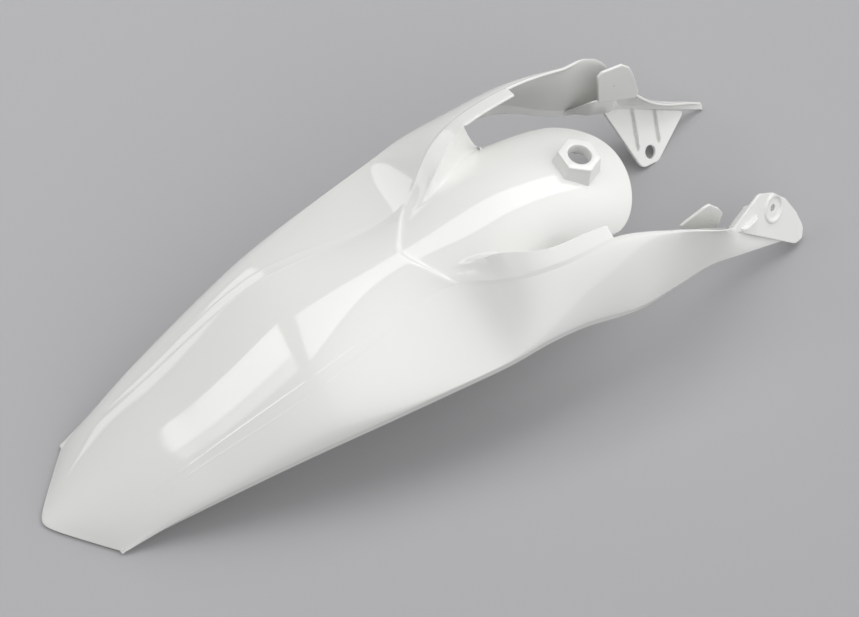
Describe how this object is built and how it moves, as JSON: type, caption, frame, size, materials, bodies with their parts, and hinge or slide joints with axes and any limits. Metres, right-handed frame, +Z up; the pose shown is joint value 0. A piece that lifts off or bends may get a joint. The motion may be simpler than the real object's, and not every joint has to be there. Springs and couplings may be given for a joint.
{
  "type": "motorcycle rear fender",
  "caption": "Off-road motorcycle rear fender, moulded plastic shell with a seat tongue, a central mounting boss and forward side arms with fixing lugs",
  "frame": {"origin": "centre of the boss's bore at its top face", "axes": "+X forward from the tail, +Y to the left, +Z up; the boss's bore leans 13 degrees forward of +Z"},
  "size_m": [0.6949, 0.2328, 0.1784],
  "materials": {
    "shell": "gloss"
  },
  "bodies": {
    "root": {"rear_fender": "shell"}
  },
  "joints": []
}
